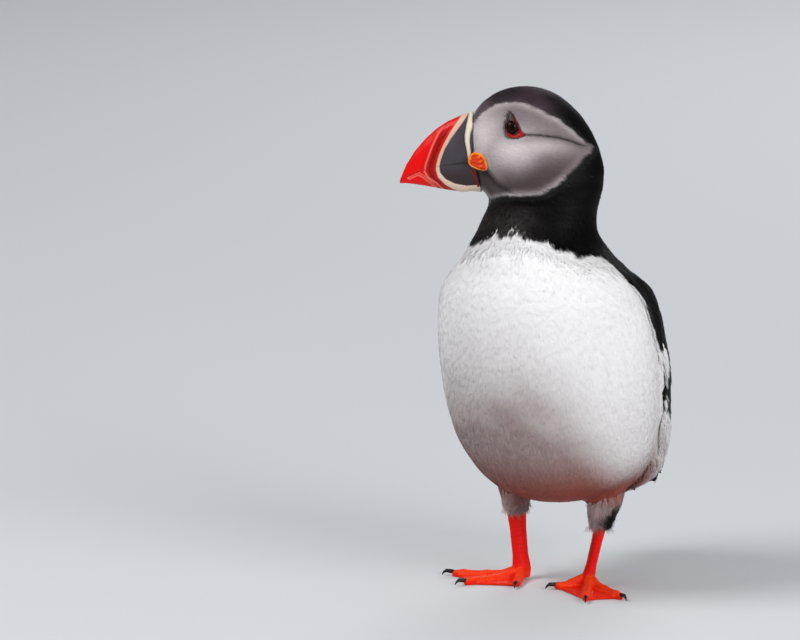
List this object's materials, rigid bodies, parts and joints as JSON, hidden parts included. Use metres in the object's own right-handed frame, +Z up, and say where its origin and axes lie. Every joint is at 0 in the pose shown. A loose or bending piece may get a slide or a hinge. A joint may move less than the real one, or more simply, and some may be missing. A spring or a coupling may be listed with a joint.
{
  "type": "atlantic puffin",
  "caption": "Life-size still model of an adult Atlantic puffin in breeding plumage, standing upright on webbed feet with its head turned to one side.",
  "frame": {"origin": "on the floor under the middle of the whole bird's bounding box", "axes": "+Z up; the breast faces -Y and the bird's left side is towards +X; the head looks 63 degrees round to the bird's right"},
  "size_m": [0.1118, 0.1374, 0.2399],
  "materials": {
    "feathers_black": "soft, slightly glossy black feathers",
    "feathers_white": "soft matte white feathers",
    "feathers_grey": "soft matte grey feathers",
    "bill_horn": "smooth horn with a low sheen",
    "rosette_skin": "bare fleshy skin",
    "leg_skin": "scaled, slightly damp skin",
    "claw_horn": "dark horn",
    "eye": "wet and polished"
  },
  "bodies": {
    "root": {"head": "feathers_grey", "neck": "feathers_black", "trunk": "feathers_white", "wing_left": "feathers_black", "wing_right": "feathers_black", "tail": "feathers_black", "thigh_left": "feathers_white", "thigh_right": "feathers_white", "leg_left": "leg_skin", "leg_right": "leg_skin", "foot_left": "leg_skin", "foot_right": "leg_skin", "bill_upper": "bill_horn", "bill_lower": "bill_horn", "rosette_left": "rosette_skin", "rosette_right": "rosette_skin", "eye_left": "eye", "eye_right": "eye", "claw_left_inner": "claw_horn", "claw_left_middle": "claw_horn", "claw_left_outer": "claw_horn", "claw_right_inner": "claw_horn", "claw_right_middle": "claw_horn", "claw_right_outer": "claw_horn"}
  },
  "joints": []
}
